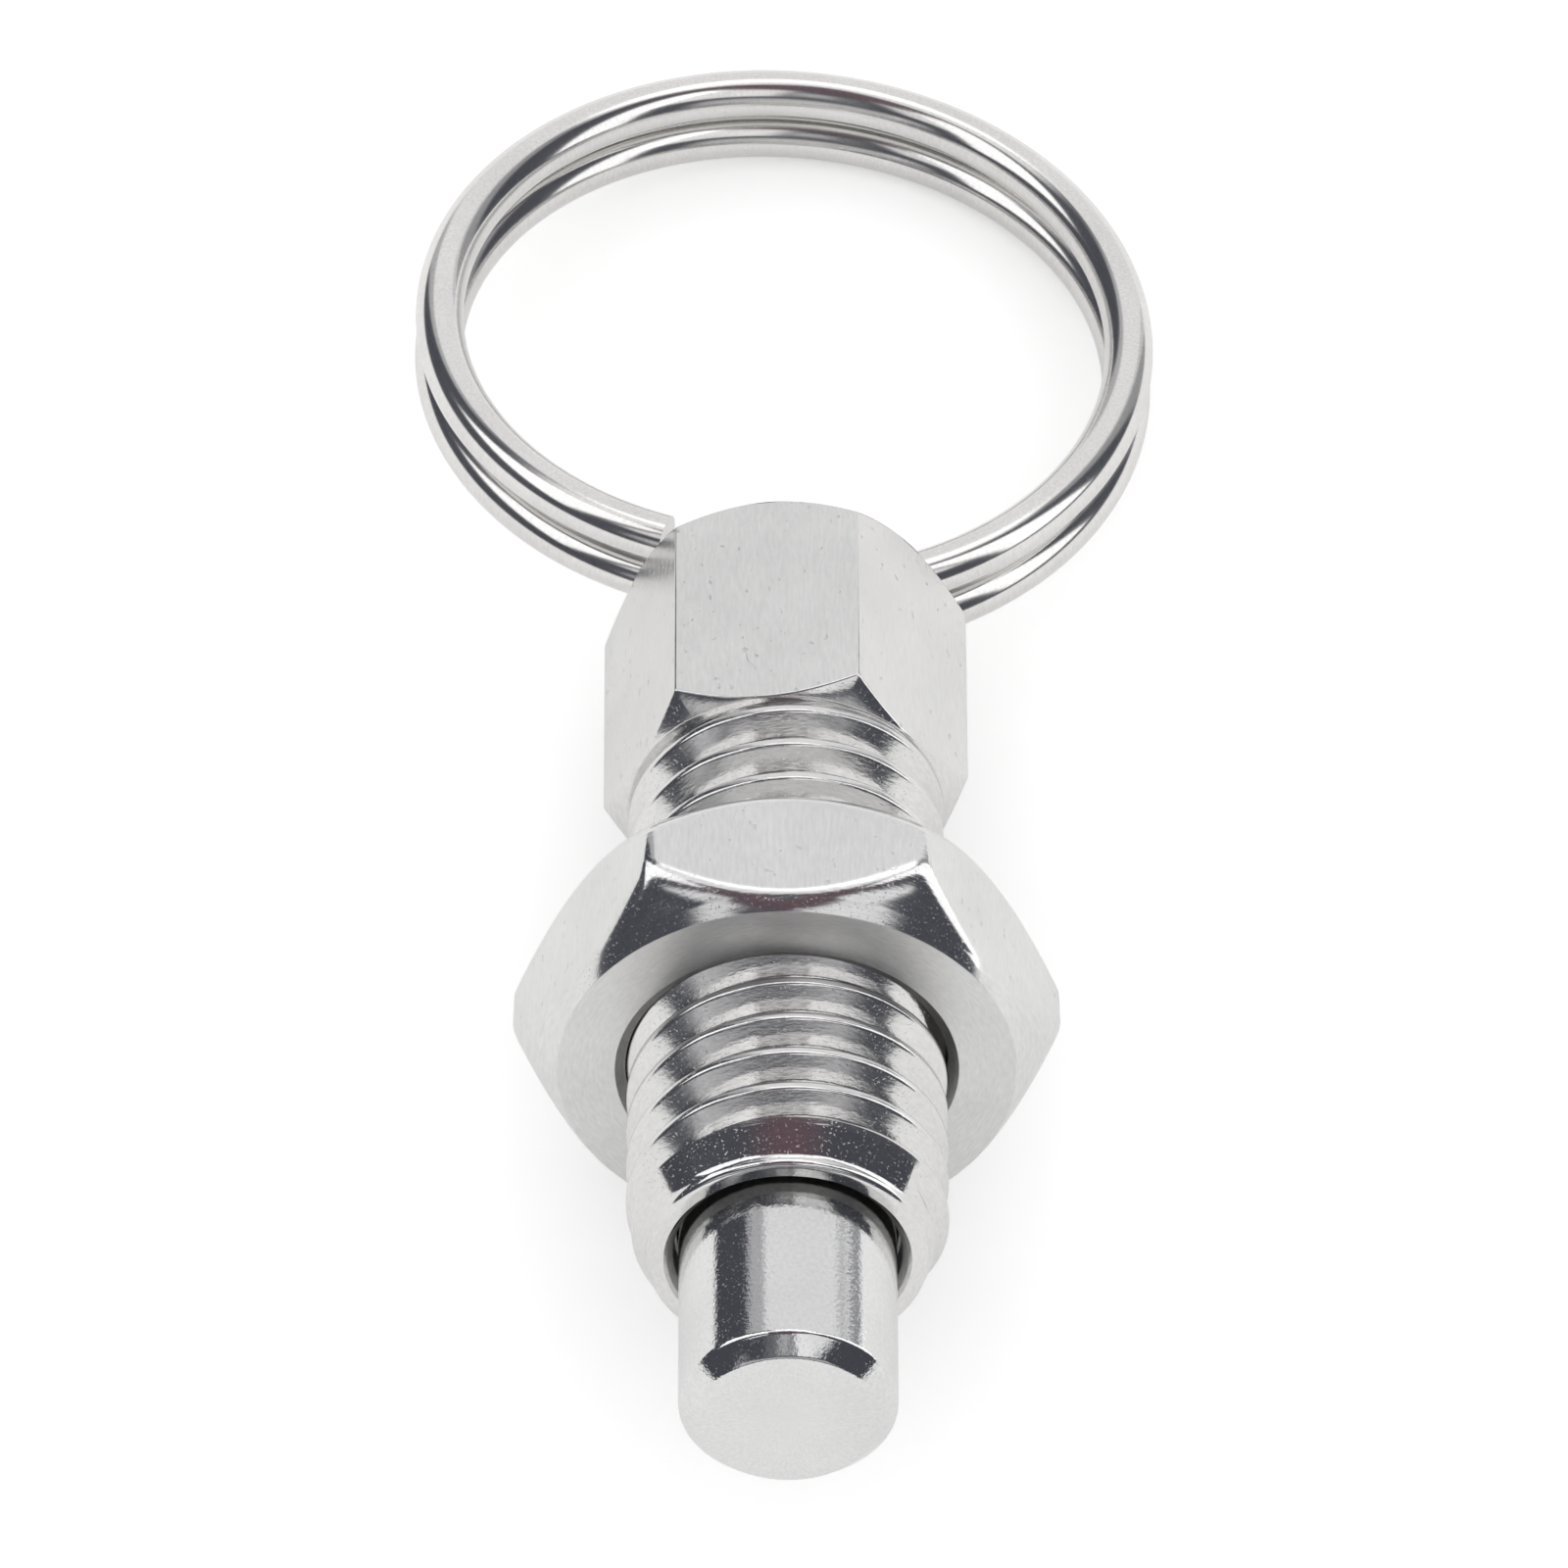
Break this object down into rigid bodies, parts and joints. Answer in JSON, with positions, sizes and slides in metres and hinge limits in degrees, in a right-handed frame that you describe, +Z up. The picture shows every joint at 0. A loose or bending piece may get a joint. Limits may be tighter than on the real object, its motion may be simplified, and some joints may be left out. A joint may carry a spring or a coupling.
{
  "type": "spring lock pin",
  "caption": "Spring-loaded lock pin in a threaded sleeve with a hexagonal collar, a split pull ring at the rear and a thin lock nut.",
  "frame": {"origin": "on the table, under the middle of the part's bounding box as it lies at rest", "axes": "+Z up from the table; the pin's axis lies in the Y-Z plane with its tip towards -Y, tipped up by 8.3 degrees; +X to the right seen from the tip's side"},
  "size_m": [0.0286, 0.0696, 0.0183],
  "materials": {
    "sleeve_steel": "turned stainless steel, fine feed marks on the flats",
    "pin_steel": "ground stainless steel, faint facing marks on the tip",
    "spring_steel": "drawn spring wire",
    "ring_steel": "bright drawn stainless wire",
    "nut_steel": "satin stainless steel"
  },
  "bodies": {
    "sleeve": {"sleeve": "sleeve_steel"},
    "spring": {"spring": "spring_steel"},
    "pin": {"plunger_pin": "pin_steel"},
    "ring": {"pull_ring": "ring_steel"},
    "nut": {"lock_nut": "nut_steel"}
  },
  "joints": [
    {"name": "pin_spin", "type": "hinge", "parent": "sleeve", "child": "spring", "pos_m": [0, -0.01725, 0.00959], "axis": [0, -0.9896, 0.144], "continuous": true},
    {"name": "pin_pull", "type": "slide", "parent": "spring", "child": "pin", "axis": [0, 0.9896, -0.144], "range_m": [0, 0.0078], "stiffness_N_per_m": 1500, "springref_m": -0.0045, "deforming": ["spring"]},
    {"name": "ring_swing", "type": "hinge", "parent": "pin", "child": "ring", "pos_m": [0, 0.00735, 0.00601], "axis": [0.9994, -0.005, -0.0345], "range_deg": [-22, 22]},
    {"name": "nut_travel", "type": "slide", "parent": "sleeve", "child": "nut", "axis": [0, -0.9896, 0.144], "range_m": [-0.0075, 0.0078]}
  ]
}
